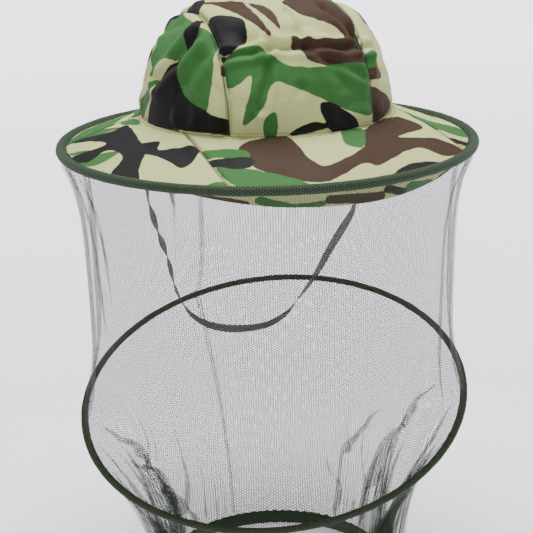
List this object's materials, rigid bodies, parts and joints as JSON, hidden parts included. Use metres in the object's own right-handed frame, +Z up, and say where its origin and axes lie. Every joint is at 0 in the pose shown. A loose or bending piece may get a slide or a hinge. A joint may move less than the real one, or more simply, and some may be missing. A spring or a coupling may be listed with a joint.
{
  "type": "beekeeping veil",
  "caption": "Soft camouflage hat with a wired round brim and a hanging insect net, held open by a second hoop below the face and gathered at an elastic hem.",
  "frame": {"origin": "centre of the head opening, level with the seam between the crown and the brim", "axes": "+Z up through the crown; the wearer faces -Y; +X is towards the wearer's left hand"},
  "size_m": [0.3887, 0.3888, 0.583],
  "materials": {
    "camouflage_cloth": "printed plain-weave cloth, matt with a faint sheen",
    "sweatband_cloth": "folded dark green cloth",
    "seam_tape": "woven bias tape",
    "spring_wire": "drawn spring steel",
    "crimped_sleeve": "crimped",
    "plastic_tube": "extruded, matt",
    "green_binding": "dark green cloth binding, sewn through",
    "net": "fine hexagonal polyester net",
    "net_seam_tape": "folded dark green tape",
    "hem_cloth": "gathered dark green cloth",
    "elastic": "woven elastic",
    "strap_ribbon": "thin woven ribbon, faint sheen",
    "strap_tab": "folded and stitched cloth"
  },
  "bodies": {
    "root": {"crown_centre_panel": "camouflage_cloth", "crown_left_panel": "camouflage_cloth", "crown_right_panel": "camouflage_cloth", "brim_front_panel": "camouflage_cloth", "brim_left_panel": "camouflage_cloth", "brim_right_panel": "camouflage_cloth", "brim_back_panel": "camouflage_cloth", "brim_facing": "camouflage_cloth", "sweatband": "sweatband_cloth", "crown_left_seam_tape": "seam_tape", "crown_right_seam_tape": "seam_tape", "brim_wire": "spring_wire", "brim_wire_joiner": "crimped_sleeve", "brim_wire_tube": "plastic_tube", "brim_binding": "green_binding", "upper_net": "net", "upper_net_seam": "net_seam_tape", "chin_strap": "strap_ribbon", "chin_strap_left_tab": "strap_tab", "chin_strap_right_tab": "strap_tab"},
    "hoop": {"hoop_wire": "spring_wire", "hoop_wire_joiner": "crimped_sleeve", "hoop_wire_tube": "plastic_tube", "hoop_binding": "green_binding", "lower_net": "net", "lower_net_seam": "net_seam_tape"},
    "hem": {"hem_casing": "hem_cloth", "hem_elastic": "elastic"}
  },
  "joints": [
    {"name": "hoop_lift", "type": "slide", "parent": "root", "child": "hoop", "axis": [0, 0, 1], "range_m": [0, 0.15], "deforming": ["upper_net", "upper_net_seam"]},
    {"name": "hem_lift", "type": "slide", "parent": "hoop", "child": "hem", "axis": [0, 0, 1], "range_m": [0, 0.07], "deforming": ["lower_net", "lower_net_seam"]}
  ]
}
